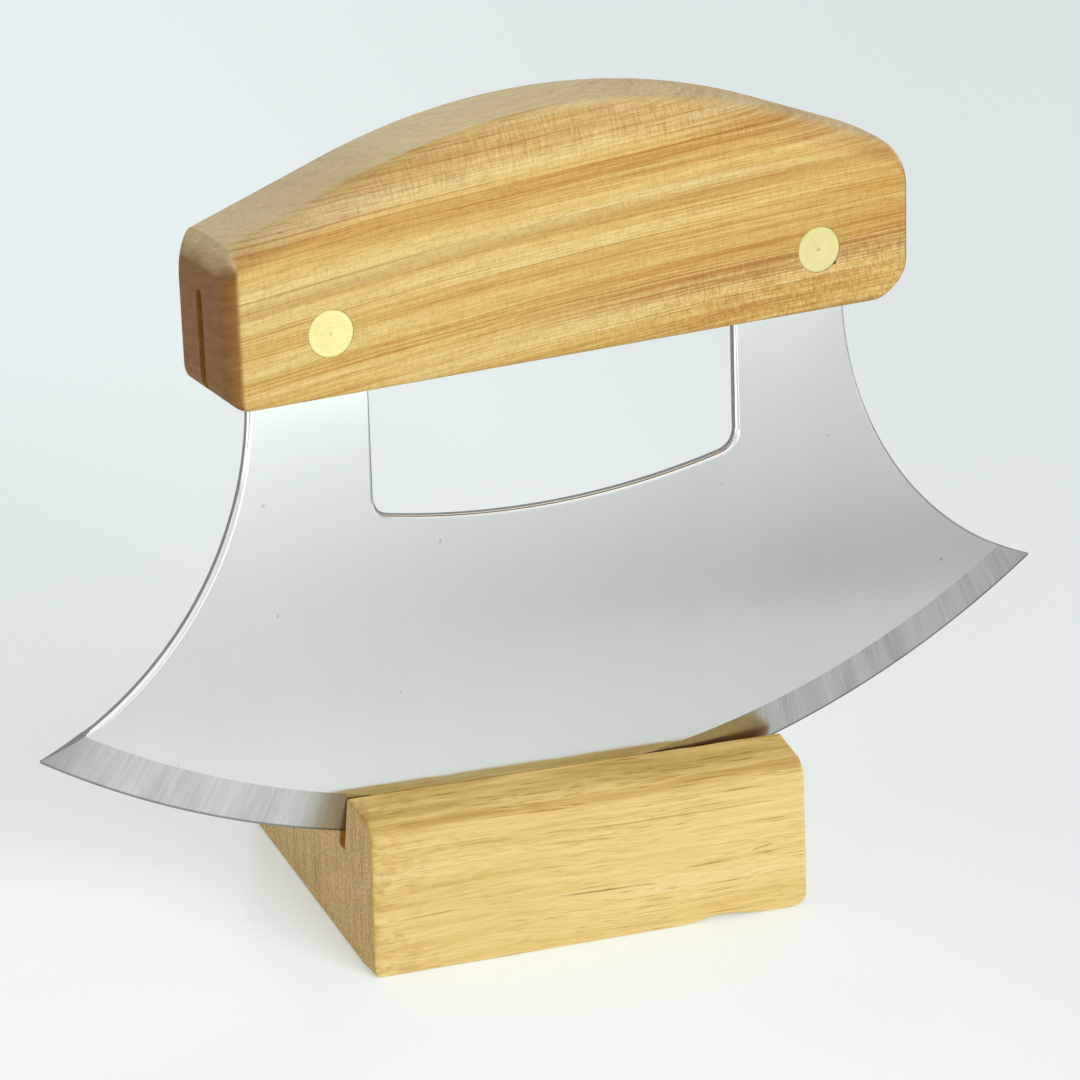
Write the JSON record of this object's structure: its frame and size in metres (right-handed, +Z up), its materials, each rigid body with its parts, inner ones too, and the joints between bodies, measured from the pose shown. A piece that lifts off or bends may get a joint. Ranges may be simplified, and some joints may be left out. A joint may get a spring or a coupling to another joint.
{
  "type": "ulu knife",
  "caption": "Ulu knife with a curved ground edge, finger window and riveted arched wooden handle, leaning in the slot of a wooden stand.",
  "frame": {"origin": "middle of the stand's base, on the surface that it stands on", "axes": "+X along the stand and the blade to the right seen from the front, +Y to the back, +Z up"},
  "size_m": [0.1521, 0.0424, 0.1153],
  "materials": {
    "stand_wood": "sanded pale yellow hardwood with fine dark pores",
    "handle_wood": "oiled golden hardwood with lengthwise stripes",
    "steel": "satin sheet steel, ground along the edge",
    "brass": "brass dressed flush and lightly polished"
  },
  "bodies": {
    "stand": {"stand_block": "stand_wood"},
    "knife": {"blade": "steel", "handle": "handle_wood", "rivet_left_post": "brass", "rivet_left_barrel": "brass", "rivet_right_post": "brass", "rivet_right_barrel": "brass"}
  },
  "joints": [
    {"name": "knife_lift", "type": "slide", "parent": "stand", "child": "knife", "axis": [0, 0.1771, 0.9842], "range_m": [0, 0.04]}
  ]
}
